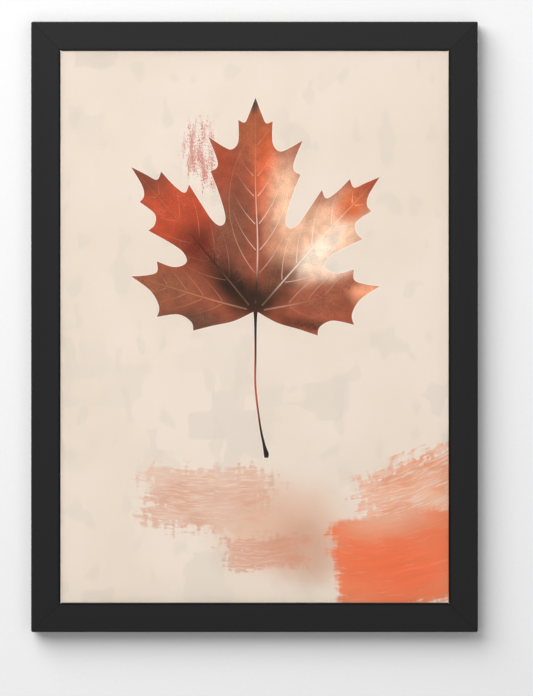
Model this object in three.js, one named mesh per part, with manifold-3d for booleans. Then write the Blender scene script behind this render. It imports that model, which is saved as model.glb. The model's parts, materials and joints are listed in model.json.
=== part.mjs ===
// A framed A3 art print that hangs on a wall. Four mitred wooden rails hold a pack of glass, print,
// corrugated filler and hardboard back, and eight turn buttons on the rails keep the pack in.
// Millimetres, +Z up. The picture faces -Y. The origin is the middle notch of the sawtooth hanger,
// half way through its plate, where a nail in the wall carries the frame.
import * as THREE from "three";
import { mergeVertices } from "three/addons/utils/BufferGeometryUtils.js";
import Module from "manifold-3d";

// The sheets in the pack, front to back. They are all cut to one standard size.
const sheetWidth = 297;
const sheetHeight = 420;
const glassThickness = 2;
const paperThickness = 0.25;
const fillerThickness = 4;
const backThickness = 3;

// The rails. The lip is the part of a rail that laps over the glass.
const railWidth = 22;
const lipWidth = 4;
const lipThickness = 4.75;
const sheetPlay = 1.5; // between the sheets' edges and the rebate
const mitreGap = 0.3; // across each mitre
const faceEdgeRadius = 1; // outer edge of the rail's front
const sightEdgeRadius = 0.5; // inner edge of the rail's front
const backEdgeRadius = 0.75;
const cornerRadius = 1.5; // the frame's four corners, seen from the front
const edgeSteps = 8; // flats in each rounded edge

// The sawtooth hanger, a steel strip whose middle stands off the rail.
const hangerLength = 45;
const hangerHeight = 9;
const hangerThickness = 1;
const hangerStandOff = 1.75; // room behind the raised middle for a nail's head
const hangerFoot = 5.5; // length of the flat at each end
const hangerStep = 2.5; // length of the slope up to the raised middle
const toothPitch = 3;
const toothDepth = 1.5;
const toothGapWidth = 2.6;
const toothGaps = 9;
const hangerToTop = 12; // from the middle notch up to the frame's top edge

// Turn buttons and their screws.
const buttonWidth = 9.5;
const buttonLength = 26;
const buttonThickness = 1;
const buttonLift = 0.25; // clear of the rail, and of the screw's head
const buttonHoleRadius = 2.05;
const pivotInset = 6; // from the rebate's edge out to the screw
const buttonsAcross = 90; // from the middle to the buttons of a top or bottom rail
const buttonsAlong = 130; // from the middle to the buttons of a side rail
const screwRadius = 1.75;
const screwHeadRadius = 3.6;
const screwHeadFlat = 2; // radius of the flat on top of the head
const screwHeadHeight = 1.25;
const screwHeadRim = 0.35; // height of the head's upright edge
const screwLength = 10;
const screwTip = 3;
const crossWidth = 0.9;
const crossLength = 3.8;
const crossDepth = 0.75;

// The hanger's nails, the corner wedges and the rubber pads.
const nailRadius = 0.7;
const nailHeadRadius = 1.6;
const nailHeadFlat = 0.5;
const nailHeadHeight = 0.6;
const nailLength = 10;
const nailTip = 1.5;
const wedgeLeg = 5;
const wedgeThickness = 0.6;
const wedgeDepth = 10;
const wedgeInsets = { outer: 5, inner: 12 }; // from the frame's outer edges to the wedge's point
const padRadius = 5;
const padHeight = 3;
const padInset = 28; // from the frame's side edges
const padRim = 0.6;
const fitGap = 0.3; // round a piece driven into wood
const roundSides = 24;
const shoulderSteps = 5;

const quarterTurn = Math.PI / 2;
const packDepth = glassThickness + paperThickness + fillerThickness + backThickness;
const railDepth = packDepth + lipThickness;
const outerWidth = sheetWidth + 2 * (sheetPlay - lipWidth + railWidth);
const outerHeight = sheetHeight + 2 * (sheetPlay - lipWidth + railWidth);
const backY = -(hangerStandOff + hangerThickness / 2); // the rails' back face
const frontY = backY - railDepth;
const rebateY = backY - packDepth; // the glass lies on the lip here
const rebateEdge = railWidth - lipWidth;
const frameCentreZ = hangerToTop - outerHeight / 2;
const pivotDepth = rebateEdge - pivotInset; // from the frame's outer edge in to a button's screw

const finishes = {
  blackWood: new THREE.MeshStandardMaterial({ color: 0x2c2c2d, roughness: 0.5, metalness: 0 }),
  glass: new THREE.MeshStandardMaterial({
    color: 0xf2f7f5,
    roughness: 0.03,
    metalness: 0,
    transparent: true,
    opacity: 0.12,
  }),
  print: new THREE.MeshStandardMaterial({ color: 0xeedfd0, roughness: 0.85, metalness: 0 }),
  corrugated: new THREE.MeshStandardMaterial({ color: 0xb08a5c, roughness: 0.9, metalness: 0 }),
  hardboard: new THREE.MeshStandardMaterial({ color: 0x7a5636, roughness: 0.75, metalness: 0 }),
  nickel: new THREE.MeshStandardMaterial({ color: 0xc8c8c4, roughness: 0.3, metalness: 1 }),
  zinc: new THREE.MeshStandardMaterial({ color: 0xb4b8bb, roughness: 0.4, metalness: 1 }),
  brass: new THREE.MeshStandardMaterial({ color: 0xc9a24e, roughness: 0.35, metalness: 1 }),
  rubber: new THREE.MeshStandardMaterial({ color: 0x18181a, roughness: 0.7, metalness: 0 }),
};

const wasm = await Module();
wasm.setup();

// A closed three.js geometry as a manifold-3d solid.
function solidOf(geometry) {
  const bare = geometry.clone();
  bare.deleteAttribute("normal");
  bare.deleteAttribute("uv");
  const merged = mergeVertices(bare, 1e-4);
  const mesh = new wasm.Mesh({
    numProp: 3,
    vertProperties: merged.attributes.position.array,
    triVerts: new Uint32Array(merged.index.array),
  });
  return new wasm.Manifold(mesh);
}

// A manifold-3d solid as a three.js geometry.
function geometryOf(solid) {
  const { vertProperties, triVerts } = solid.getMesh();
  const geometry = new THREE.BufferGeometry();
  geometry.setAttribute("position", new THREE.BufferAttribute(vertProperties, 3));
  geometry.setIndex(new THREE.BufferAttribute(triVerts, 1));
  geometry.computeVertexNormals();
  return geometry;
}

// The geometry with each of the cutters taken away from it.
function cutAway(geometry, cutters) {
  const solid = cutters.reduce((left, cutter) => left.subtract(solidOf(cutter)), solidOf(geometry));
  return geometryOf(solid);
}

function named(name, geometry, finish) {
  const mesh = new THREE.Mesh(geometry, finish);
  mesh.name = name;
  return mesh;
}

// A flat outline drawn in X and Z, as a plate that runs forwards from y = 0.
function plate(outline, thickness) {
  const geometry = new THREE.ExtrudeGeometry(outline, {
    depth: thickness,
    bevelEnabled: false,
    curveSegments: roundSides / 2,
  });
  return geometry.rotateX(quarterTurn);
}

// A turned piece about the Y axis. The profile's points are [radius, y], from front to back.
function turned(profile, sides = roundSides) {
  return new THREE.LatheGeometry(
    profile.map(([radius, y]) => new THREE.Vector2(radius, y)),
    sides,
  );
}

// A rounded shoulder for a turned profile, from a radius in to a flat's smaller one.
function shoulder(radius, flat, base, height) {
  return Array.from({ length: shoulderSteps + 1 }, (_, i) => {
    const turn = (i / shoulderSteps) * quarterTurn;
    return [flat + (radius - flat) * Math.cos(turn), base + height * Math.sin(turn)];
  });
}

// A round hole of this radius and depth, going forwards from y = 0.
function drillHole(radius, depth) {
  const overrun = 1;
  const geometry = new THREE.CylinderGeometry(radius, radius, depth + overrun, roundSides);
  return geometry.translate(0, (overrun - depth) / 2, 0);
}

// A rail's section: x is the distance in from the frame's outer edge, and y the depth.
function railSection() {
  const section = new THREE.Shape();
  const face = faceEdgeRadius;
  const sight = sightEdgeRadius;
  const back = backEdgeRadius;
  section.moveTo(face, frontY);
  section.lineTo(railWidth - sight, frontY);
  section.absarc(railWidth - sight, frontY + sight, sight, -quarterTurn, 0, false);
  section.lineTo(railWidth, rebateY);
  section.lineTo(rebateEdge, rebateY);
  section.lineTo(rebateEdge, backY);
  section.lineTo(back, backY);
  section.absarc(back, backY - back, back, quarterTurn, 2 * quarterTurn, false);
  section.lineTo(0, frontY + face);
  section.absarc(face, frontY + face, face, 2 * quarterTurn, 3 * quarterTurn, false);
  return section;
}

// A straight length of rail along X, its outer edge at z = 0 and its middle at x = 0, with both
// ends mitred and the frame's outer corners rounded.
function railBlank(length) {
  const geometry = new THREE.ExtrudeGeometry(railSection(), {
    depth: length,
    bevelEnabled: false,
    curveSegments: edgeSteps,
  });
  const alongX = new THREE.Matrix4().makeBasis(
    new THREE.Vector3(0, 0, -1),
    new THREE.Vector3(0, 1, 0),
    new THREE.Vector3(1, 0, 0),
  );
  geometry.applyMatrix4(alongX);
  const shift = mitreGap / Math.SQRT2; // half the gap, measured along the rail
  const corners = geometry.attributes.position;
  for (let i = 0; i < corners.count; i++) {
    const fromEdge = shift - corners.getZ(i);
    const atStart = corners.getX(i) < length / 2;
    corners.setX(i, (atStart ? fromEdge : length - fromEdge) - length / 2);
  }
  return geometryOf(solidOf(geometry).intersect(solidOf(cornerTrim(length))));
}

// What the rounded corners leave of the space round a rail.
function cornerTrim(length) {
  const half = length / 2;
  const r = cornerRadius;
  const room = 2 * railWidth;
  const outline = new THREE.Shape();
  outline.moveTo(-half, -room);
  outline.lineTo(half, -room);
  outline.lineTo(half, -r);
  outline.absarc(half - r, -r, r, 0, quarterTurn, false);
  outline.lineTo(r - half, 0);
  outline.absarc(r - half, -r, r, quarterTurn, 2 * quarterTurn, false);
  return plate(outline, 2 * railDepth).translate(0, backY + railDepth / 2, 0);
}

// A corner wedge seen from behind: a bent strip with its point on the mitre and a leg in each rail.
// The mitre runs along the outline's x = -z diagonal.
function wedgeOutline(grow = 0) {
  const spread = wedgeLeg + grow;
  const half = wedgeThickness / 2 + grow;
  const outline = new THREE.Shape();
  outline.moveTo(-half, half);
  outline.lineTo(-half, -spread);
  outline.lineTo(half, -spread);
  outline.lineTo(half, -half);
  outline.lineTo(spread, -half);
  outline.lineTo(spread, half);
  return outline;
}

function wedge(grow = 0) {
  return plate(wedgeOutline(grow), wedgeDepth + grow);
}

// The pockets that a rail's two wedges need at each of its ends.
function wedgePockets(length) {
  const overrun = 1;
  return Object.values(wedgeInsets).flatMap((inset) =>
    [-1, 1].map((side) => {
      const pocket = plate(wedgeOutline(fitGap), wedgeDepth + fitGap + overrun);
      const turn = side < 0 ? 0 : -quarterTurn;
      pocket.rotateY(-turn);
      return pocket.translate(side * (length / 2 - inset), backY + overrun, -inset);
    }),
  );
}

function screwHoles(offset) {
  return [-offset, offset].map((x) =>
    drillHole(screwRadius + fitGap, screwLength + fitGap).translate(x, backY, -pivotDepth),
  );
}

const nailX = (hangerLength - hangerFoot) / 2;
const hangerMiddleZ = hangerHeight / 2 - toothDepth; // of the plate, above the notch

function hangerNailHoles() {
  return [-nailX, nailX].map((x) =>
    drillHole(nailRadius + fitGap, nailLength + fitGap).translate(x, backY, hangerMiddleZ - hangerToTop),
  );
}

// The sawtooth strip: bent in plan, then toothed along its lower edge and drilled at its ends.
function hanger() {
  const half = hangerLength / 2;
  const footEnd = half - hangerFoot;
  const raisedEnd = footEnd - hangerStep;
  const bends = [
    [-half, 0],
    [-footEnd, 0],
    [-raisedEnd, hangerStandOff],
    [raisedEnd, hangerStandOff],
    [footEnd, 0],
    [half, 0],
  ];
  const near = bends.map(([x, y]) => new THREE.Vector2(x, y));
  const far = bends.map(([x, y]) => new THREE.Vector2(x, y + hangerThickness)).reverse();
  const strip = new THREE.ExtrudeGeometry(new THREE.Shape([...near, ...far]), {
    depth: hangerHeight,
    bevelEnabled: false,
  });
  strip.translate(0, backY, -toothDepth);
  const gaps = Array.from({ length: toothGaps }, (_, i) => {
    const x = (i - (toothGaps - 1) / 2) * toothPitch;
    return toothGap().translate(x, hangerStandOff, 0);
  });
  const holes = [-nailX, nailX].map((x) =>
    drillHole(nailRadius + fitGap, 2 * hangerThickness).translate(x, backY + hangerThickness, hangerMiddleZ),
  );
  return cutAway(strip, [...gaps, ...holes]);
}

// The space between two teeth, a notch that narrows upwards to z = 0.
function toothGap() {
  const below = 2 * toothDepth;
  const slope = toothGapWidth / 2 / toothDepth;
  const outline = new THREE.Shape();
  outline.moveTo(-slope * below, -below);
  outline.lineTo(slope * below, -below);
  outline.lineTo(0, 0);
  return plate(outline, 2 * hangerStandOff + hangerThickness);
}

function hangerNail() {
  const underHead = hangerThickness;
  return turned([
    [0, underHead - nailLength],
    [nailRadius, underHead - nailLength + nailTip],
    [nailRadius, underHead],
    ...shoulder(nailHeadRadius, nailHeadFlat, underHead, nailHeadHeight),
    [0, underHead + nailHeadHeight],
  ]);
}

// A turn button that points down from its screw hole.
function turnButton() {
  const r = buttonWidth / 2;
  const reach = buttonLength - 2 * r;
  const outline = new THREE.Shape();
  outline.absarc(0, 0, r, 0, 2 * quarterTurn, false);
  outline.absarc(0, -reach, r, 2 * quarterTurn, 4 * quarterTurn, false);
  const hole = new THREE.Path();
  hole.absarc(0, 0, buttonHoleRadius, 0, 4 * quarterTurn, true);
  outline.holes.push(hole);
  return plate(outline, buttonThickness).translate(0, buttonLift + buttonThickness, 0);
}

// A pan-head screw with a cross recess, its head just clear of the button.
function buttonScrew() {
  const underHead = buttonThickness + 2 * buttonLift;
  const top = underHead + screwHeadHeight;
  const blank = turned([
    [0, -screwLength],
    [screwRadius, screwTip - screwLength],
    [screwRadius, underHead],
    [screwHeadRadius, underHead],
    ...shoulder(screwHeadRadius, screwHeadFlat, underHead + screwHeadRim, screwHeadHeight - screwHeadRim),
    [0, top],
  ]);
  const bars = [
    [crossLength, crossWidth],
    [crossWidth, crossLength],
  ].map(([x, z]) => new THREE.BoxGeometry(x, 2 * crossDepth, z).translate(0, top, 0));
  return cutAway(blank, bars);
}

// A round pad with a softened rim, standing back from y = 0.
function wallPad() {
  return turned([
    [0, 0],
    [padRadius, 0],
    ...shoulder(padRadius, padRadius - padRim, padHeight - padRim, padRim),
    [0, padHeight],
  ]);
}

// One side of the frame: its rail with two turn buttons and their screws. The group's own frame
// has the rail along X with its outer edge at the top, and turn brings it round to its side.
function frameSide(side) {
  const group = new THREE.Group();
  const cutters = [
    ...wedgePockets(side.length),
    ...screwHoles(side.buttons),
    ...(side.name === "top" ? hangerNailHoles() : []),
  ];
  group.add(named(`rail_${side.name}`, cutAway(railBlank(side.length), cutters), finishes.blackWood));
  side.ends.forEach((end, i) => {
    const x = (i === 0 ? -1 : 1) * side.buttons;
    const button = named(`turn_button_${side.name}_${end}`, turnButton(), finishes.nickel);
    const screw = named(`button_screw_${side.name}_${end}`, buttonScrew(), finishes.zinc);
    for (const piece of [button, screw]) {
      piece.position.set(x, backY, -pivotDepth);
      group.add(piece);
    }
  });
  group.position.set(side.x, 0, side.z);
  group.rotation.y = side.turn;
  return group;
}

const topZ = hangerToTop;
const bottomZ = hangerToTop - outerHeight;
const sides = [
  {
    name: "top",
    length: outerWidth,
    buttons: buttonsAcross,
    x: 0,
    z: topZ,
    turn: 0,
    ends: ["left", "right"],
  },
  {
    name: "right",
    length: outerHeight,
    buttons: buttonsAlong,
    x: outerWidth / 2,
    z: frameCentreZ,
    turn: quarterTurn,
    ends: ["upper", "lower"],
  },
  {
    name: "bottom",
    length: outerWidth,
    buttons: buttonsAcross,
    x: 0,
    z: bottomZ,
    turn: 2 * quarterTurn,
    ends: ["right", "left"],
  },
  {
    name: "left",
    length: outerHeight,
    buttons: buttonsAlong,
    x: -outerWidth / 2,
    z: frameCentreZ,
    turn: 3 * quarterTurn,
    ends: ["lower", "upper"],
  },
];

// The two wedges of each corner. A corner's turn brings the top left corner's wedge round to it.
function cornerWedges() {
  const corners = [
    { name: "top_left", x: -1, z: 1, turn: 0 },
    { name: "top_right", x: 1, z: 1, turn: quarterTurn },
    { name: "bottom_right", x: 1, z: -1, turn: 2 * quarterTurn },
    { name: "bottom_left", x: -1, z: -1, turn: 3 * quarterTurn },
  ];
  return corners.flatMap((corner) =>
    Object.entries(wedgeInsets).map(([place, inset]) => {
      const mesh = named(`corner_wedge_${corner.name}_${place}`, wedge(), finishes.zinc);
      mesh.position.set(
        corner.x * (outerWidth / 2 - inset),
        backY,
        frameCentreZ + corner.z * (outerHeight / 2 - inset),
      );
      mesh.rotation.y = corner.turn;
      return mesh;
    }),
  );
}

// The pack of sheets, laid one on another from the glass on the lip to the back board.
function sheetPack() {
  const layers = [
    ["glass_pane", glassThickness, finishes.glass],
    ["art_print", paperThickness, finishes.print],
    ["filler_card", fillerThickness, finishes.corrugated],
    ["back_board", backThickness, finishes.hardboard],
  ];
  let y = rebateY;
  return layers.map(([name, thickness, finish]) => {
    const mesh = named(name, new THREE.BoxGeometry(sheetWidth, thickness, sheetHeight), finish);
    mesh.position.set(0, y + thickness / 2, frameCentreZ);
    y += thickness;
    return mesh;
  });
}

function hangerSet() {
  const nails = [
    ["left", -nailX],
    ["right", nailX],
  ].map(([end, x]) => {
    const nail = named(`hanger_nail_${end}`, hangerNail(), finishes.zinc);
    nail.position.set(x, backY, hangerMiddleZ);
    return nail;
  });
  return [named("sawtooth_hanger", hanger(), finishes.brass), ...nails];
}

function wallPads() {
  return [
    ["left", -1],
    ["right", 1],
  ].map(([end, side]) => {
    const pad = named(`wall_pad_${end}`, wallPad(), finishes.rubber);
    pad.position.set(side * (outerWidth / 2 - padInset), backY, bottomZ + rebateEdge / 2);
    return pad;
  });
}

const framedPrint = new THREE.Group();
framedPrint.add(...sides.map(frameSide), ...cornerWedges(), ...sheetPack(), ...hangerSet(), ...wallPads());

export default framedPrint;
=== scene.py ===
import json
import math

import bmesh
import bpy
from mathutils import Matrix, Vector


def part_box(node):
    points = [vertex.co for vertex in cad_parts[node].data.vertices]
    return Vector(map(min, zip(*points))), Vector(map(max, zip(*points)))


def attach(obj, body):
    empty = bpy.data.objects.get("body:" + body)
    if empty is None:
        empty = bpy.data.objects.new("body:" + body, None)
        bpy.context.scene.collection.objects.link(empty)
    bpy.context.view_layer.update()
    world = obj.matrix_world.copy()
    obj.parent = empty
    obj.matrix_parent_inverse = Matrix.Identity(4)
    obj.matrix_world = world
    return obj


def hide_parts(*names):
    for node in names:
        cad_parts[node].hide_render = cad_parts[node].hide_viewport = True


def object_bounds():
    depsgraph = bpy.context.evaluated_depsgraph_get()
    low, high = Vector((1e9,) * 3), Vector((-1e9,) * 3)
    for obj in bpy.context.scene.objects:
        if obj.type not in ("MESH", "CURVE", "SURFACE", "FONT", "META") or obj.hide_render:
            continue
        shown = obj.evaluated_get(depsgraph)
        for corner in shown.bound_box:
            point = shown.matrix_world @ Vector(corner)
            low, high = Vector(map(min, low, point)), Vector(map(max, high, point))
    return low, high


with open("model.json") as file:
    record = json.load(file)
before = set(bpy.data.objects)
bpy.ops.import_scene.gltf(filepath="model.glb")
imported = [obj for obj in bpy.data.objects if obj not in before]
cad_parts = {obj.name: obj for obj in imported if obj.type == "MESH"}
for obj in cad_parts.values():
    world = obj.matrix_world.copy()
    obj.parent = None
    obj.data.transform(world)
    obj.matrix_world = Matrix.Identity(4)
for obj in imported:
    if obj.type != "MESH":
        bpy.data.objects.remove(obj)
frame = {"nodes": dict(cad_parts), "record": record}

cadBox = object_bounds()
rootBody = "frame_and_pack"
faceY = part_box("rail_top")[0].y  # the rails' front
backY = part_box("rail_top")[1].y
middle = (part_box("art_print")[0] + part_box("art_print")[1]) / 2  # of the printed sheet
print("frame loaded,", len(frame["nodes"]), "nodes")


# Camera

cameraSetup = {
    "lens": 200,  # mm, long, so that the rails stay parallel
    "fieldHeight": 0.5231,  # m seen from top to bottom at the rails' front
    "right": 0.0090,  # how far the view's centre is from the frame's
    "down": 0.0159,
}


def addCamera(setup):
    data = bpy.data.cameras.new("frontCamera")
    data.lens = setup["lens"]
    distance = setup["fieldHeight"] * data.lens / data.sensor_width
    camera = bpy.data.objects.new("frontCamera", data)
    camera.location = (middle.x + setup["right"], faceY - distance, middle.z - setup["down"])
    camera.rotation_euler = (math.radians(90), 0, 0)
    bpy.context.scene.collection.objects.link(camera)
    bpy.context.scene.camera = camera


addCamera(cameraSetup)
bpy.context.scene.view_settings.view_transform = "Standard"
print("camera placed")


# Helpers for node trees

def linear(hexTint):
    channels = [int(hexTint[i:i + 2], 16) / 255 for i in (0, 2, 4)]
    return [c / 12.92 if c <= 0.04045 else ((c + 0.055) / 1.055) ** 2.4 for c in channels]


def newMaterial(name):
    material = bpy.data.materials.new(name)
    material.use_nodes = True
    return material, material.node_tree, material.node_tree.nodes["Principled BSDF"]


def feed(tree, socket, value):
    if isinstance(value, bpy.types.NodeSocket):
        tree.links.new(value, socket)
    else:
        socket.default_value = value


def addNode(tree, kind, inputs=(), **settings):
    node = tree.nodes.new(kind)
    for key, value in settings.items():
        setattr(node, key, value)
    for key, value in dict(inputs).items():
        feed(tree, node.inputs[key], value)
    return node


def calc(tree, operation, *values):
    return addNode(tree, "ShaderNodeMath", enumerate(values), operation=operation).outputs[0]


def vectorCalc(tree, operation, *values):
    node = addNode(tree, "ShaderNodeVectorMath", enumerate(values), operation=operation)
    return node.outputs["Value" if operation == "LENGTH" else "Vector"]


def ease(tree, value, low, high, start=0.0, end=1.0):
    inputs = {"Value": value, "From Min": low, "From Max": high, "To Min": start, "To Max": end}
    return addNode(tree, "ShaderNodeMapRange", inputs, interpolation_type="SMOOTHSTEP").outputs[0]


def blend(tree, factor, under, over):
    node = addNode(tree, "ShaderNodeMix", data_type="RGBA")
    for index, value in ((0, factor), (6, under), (7, over)):
        if isinstance(value, str):
            value = (*linear(value), 1)
        feed(tree, node.inputs[index], value)
    return node.outputs[2]


def noise(tree, coords, scale, detail=2.0, rough=0.5, stretch=(1, 1, 1), turn=0.0):
    inputs = {"Vector": coords, "Scale": stretch, "Rotation": (0, turn, 0)}
    mapped = addNode(tree, "ShaderNodeMapping", inputs).outputs[0]
    inputs = {"Vector": mapped, "Scale": scale, "Detail": detail, "Roughness": rough}
    return addNode(tree, "ShaderNodeTexNoise", inputs).outputs[0]


def bump(tree, shader, height, strength, distance):
    node = addNode(tree, "ShaderNodeBump", {"Height": height, "Strength": strength, "Distance": distance})
    tree.links.new(node.outputs[0], shader.inputs["Normal"])


def objectCoords(tree):
    return addNode(tree, "ShaderNodeTexCoord").outputs["Object"]


# Materials of wood, metal, rubber, board, card and glass

lipCover = 0.0025  # of the pane, under the lip

lacquerLook = {
    "tint": "262627",
    "grainTint": "232324",
    "roughness": (0.42, 0.52),
    "grainScale": 900,  # per metre across the grain
    "grainStretch": 0.035,
    "grainDepth": 0.00003,
    "poreTint": "1c1c1d",
    "speckScale": 2600,
    "sightShadeWidth": 0.0019,  # width of the painted shade line round the opening, standing in for the shadow where the lip meets the pane
    "sightShadeTint": "0c0c0c",
}


def sightDistance(tree, coords):
    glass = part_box("glass_pane")
    half = [(glass[1][i] - glass[0][i]) / 2 - lipCover for i in (0, 2)]
    moved = vectorCalc(tree, "ABSOLUTE", vectorCalc(tree, "SUBTRACT", coords, tuple(middle)))
    parts = addNode(tree, "ShaderNodeSeparateXYZ", {0: moved}).outputs
    return calc(tree, "MAXIMUM", calc(tree, "SUBTRACT", parts[0], half[0]),
                calc(tree, "SUBTRACT", parts[2], half[1]))


def blackLacquer(name, look, alongX):
    material, tree, shader = newMaterial(name)
    coords = objectCoords(tree)
    along = look["grainStretch"]
    stretch = (along, 1, 1) if alongX else (1, 1, along)
    grain = noise(tree, coords, look["grainScale"], 3, 0.6, stretch)
    cloud = noise(tree, coords, look["grainScale"] / 30, 2, 0.5, stretch)
    speck = noise(tree, coords, look["speckScale"], 1)
    pores = ease(tree, grain, 0.55, 0.7)
    tint = blend(tree, cloud, look["tint"], look["grainTint"])
    tint = blend(tree, calc(tree, "MULTIPLY", pores, 0.25), tint, look["poreTint"])
    # Painted shade: the lacquer turns near-black in a thin band round the opening, standing in for the
    # shadow at the lip's edge
    atSightShade = ease(tree, sightDistance(tree, coords), look["sightShadeWidth"], look["sightShadeWidth"] * 0.6)
    tint = blend(tree, atSightShade, tint, look["sightShadeTint"])
    tree.links.new(tint, shader.inputs["Base Color"])
    tree.links.new(ease(tree, cloud, 0.3, 0.7, *look["roughness"]), shader.inputs["Roughness"])
    height = calc(tree, "ADD", calc(tree, "MULTIPLY", pores, -1.0), calc(tree, "MULTIPLY", speck, 0.4))
    bump(tree, shader, height, 0.35, look["grainDepth"])
    return material


metalLooks = {
    "nickel_steel": {"tint": "cfccc5", "dull": "aaa69e", "roughness": (0.22, 0.4), "scratch": 1500},
    "zinc_steel": {"tint": "c9cdd2", "dull": "9aa0a6", "roughness": (0.25, 0.45), "scratch": 1200},
    "brass_plate": {"tint": "d8b062", "dull": "a67f3c", "roughness": (0.25, 0.42), "scratch": 1100},
}


def plateMetal(name, look):
    material, tree, shader = newMaterial(name)
    coords = objectCoords(tree)
    cloud = noise(tree, coords, 260, 3, 0.6)
    lines = noise(tree, coords, look["scratch"], 2, 0.7, (0.05, 1, 1), math.radians(24))
    tint = blend(tree, ease(tree, cloud, 0.42, 0.68), look["tint"], look["dull"])
    tree.links.new(tint, shader.inputs["Base Color"])
    worn = calc(tree, "ADD", calc(tree, "MULTIPLY", cloud, 0.6), calc(tree, "MULTIPLY", lines, 0.4))
    tree.links.new(ease(tree, worn, 0.35, 0.65, *look["roughness"]), shader.inputs["Roughness"])
    shader.inputs["Metallic"].default_value = 1.0
    bump(tree, shader, lines, 0.15, 0.00003)
    return material


rubberLook = {"tint": "1b1b1d", "dustTint": "2c2b2b", "dustScale": 700, "roughness": 0.72, "depth": 0.00005}


def padRubber(look):
    material, tree, shader = newMaterial("padRubber")
    dust = noise(tree, objectCoords(tree), look["dustScale"], 3, 0.7)
    tint = blend(tree, ease(tree, dust, 0.5, 0.75), look["tint"], look["dustTint"])
    tree.links.new(tint, shader.inputs["Base Color"])
    shader.inputs["Roughness"].default_value = look["roughness"]
    bump(tree, shader, dust, 0.25, look["depth"])
    return material


boardLook = {
    "tint": "7d5738",
    "dark": "6a472c",
    "fleck": "a07a54",
    "darkFleck": "3f2817",
    "screenTint": "4a301d",
    "fibreScale": 520,
    "screen": 1571,  # the press screen's mark, radians per metre
    "screenDepth": 0.00012,
}


def hardboard(look):
    material, tree, shader = newMaterial("hardboard")
    coords = objectCoords(tree)
    cloud = noise(tree, coords, 9, 5, 0.7)
    fibres = noise(tree, coords, look["fibreScale"], 4, 0.75, (1, 1, 0.3), math.radians(33))
    cross = noise(tree, coords, look["fibreScale"], 4, 0.75, (1, 1, 0.3), math.radians(-52))
    parts = addNode(tree, "ShaderNodeSeparateXYZ", {0: coords}).outputs
    waves = [calc(tree, "SINE", calc(tree, "MULTIPLY", parts[i], look["screen"])) for i in (0, 2)]
    screen = calc(tree, "MULTIPLY", *waves)
    tint = blend(tree, ease(tree, cloud, 0.3, 0.7), look["tint"], look["dark"])
    tint = blend(tree, ease(tree, fibres, 0.54, 0.72, 0, 0.55), tint, look["fleck"])
    tint = blend(tree, ease(tree, cross, 0.58, 0.74, 0, 0.7), tint, look["darkFleck"])
    tint = blend(tree, ease(tree, screen, 0.2, 0.9, 0, 0.25), tint, look["screenTint"])
    tree.links.new(tint, shader.inputs["Base Color"])
    tree.links.new(ease(tree, cloud, 0.3, 0.7, 0.55, 0.68), shader.inputs["Roughness"])
    height = calc(tree, "SUBTRACT", calc(tree, "ADD", fibres, cross), calc(tree, "MULTIPLY", screen, 0.6))
    bump(tree, shader, height, 0.5, look["screenDepth"])
    return material


fibreLooks = {
    "corrugatedCard": {"tints": ("b9925f", "94703f"), "scale": 900, "stretch": (1, 1, 0.25),
                       "roughness": 0.9, "strength": 0.4, "depth": 0.00008},
    "paperBack": {"tints": ("f3f0ea", "e6e1d8"), "scale": 700, "stretch": (1, 1, 1),
                  "roughness": 0.8, "strength": 0.2, "depth": 0.00003},
}


def fibrePaper(name):
    look = fibreLooks[name]
    material, tree, shader = newMaterial(name)
    fibres = noise(tree, objectCoords(tree), look["scale"], 4, 0.8, look["stretch"])
    tint = blend(tree, ease(tree, fibres, 0.35, 0.7), *look["tints"])
    tree.links.new(tint, shader.inputs["Base Color"])
    shader.inputs["Roughness"].default_value = look["roughness"]
    bump(tree, shader, fibres, look["strength"], look["depth"])
    return material


glassLook = {"tint": (0.985, 0.995, 0.99, 1), "ior": 1.5, "smearScale": 14, "smearRoughness": 0.025}


def clearGlass(look):
    material, tree, shader = newMaterial("clearGlass")
    smear = noise(tree, objectCoords(tree), look["smearScale"], 3, 0.6, (1, 1, 0.4), math.radians(20))
    shader.inputs["Base Color"].default_value = look["tint"]
    tree.links.new(ease(tree, smear, 0.5, 0.8, 0.0, look["smearRoughness"]), shader.inputs["Roughness"])
    shader.inputs["IOR"].default_value = look["ior"]
    shader.inputs["Transmission Weight"].default_value = 1.0
    path = addNode(tree, "ShaderNodeLightPath")
    clear = addNode(tree, "ShaderNodeBsdfTransparent")
    output = tree.nodes["Material Output"]
    mixed = addNode(tree, "ShaderNodeMixShader", {0: path.outputs["Is Shadow Ray"], 1: shader.outputs[0],
                                                  2: clear.outputs[0]})
    tree.links.new(mixed.outputs[0], output.inputs["Surface"])
    return material


lacquerAcross = blackLacquer("blackLacquerAcross", lacquerLook, True)
lacquerUpright = blackLacquer("blackLacquerUpright", lacquerLook, False)
metals = {slot: plateMetal(slot, look) for slot, look in metalLooks.items()}
print("lacquer and metal made")


# Finer copies of the frame's hard pieces

def addPiece(name, bm, materials, body, nodes):
    mesh = bpy.data.meshes.new(name)
    bm.to_mesh(mesh)
    bm.free()
    for material in materials:
        mesh.materials.append(material)
    mesh.set_sharp_from_angle(angle=math.radians(32))
    piece = bpy.data.objects.new(name, mesh)
    bpy.context.scene.collection.objects.link(piece)
    evenNormals = piece.modifiers.new("evenNormals", "WEIGHTED_NORMAL")
    evenNormals.keep_sharp = True
    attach(piece, body)
    if nodes:
        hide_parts(*nodes)
    return piece


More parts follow.
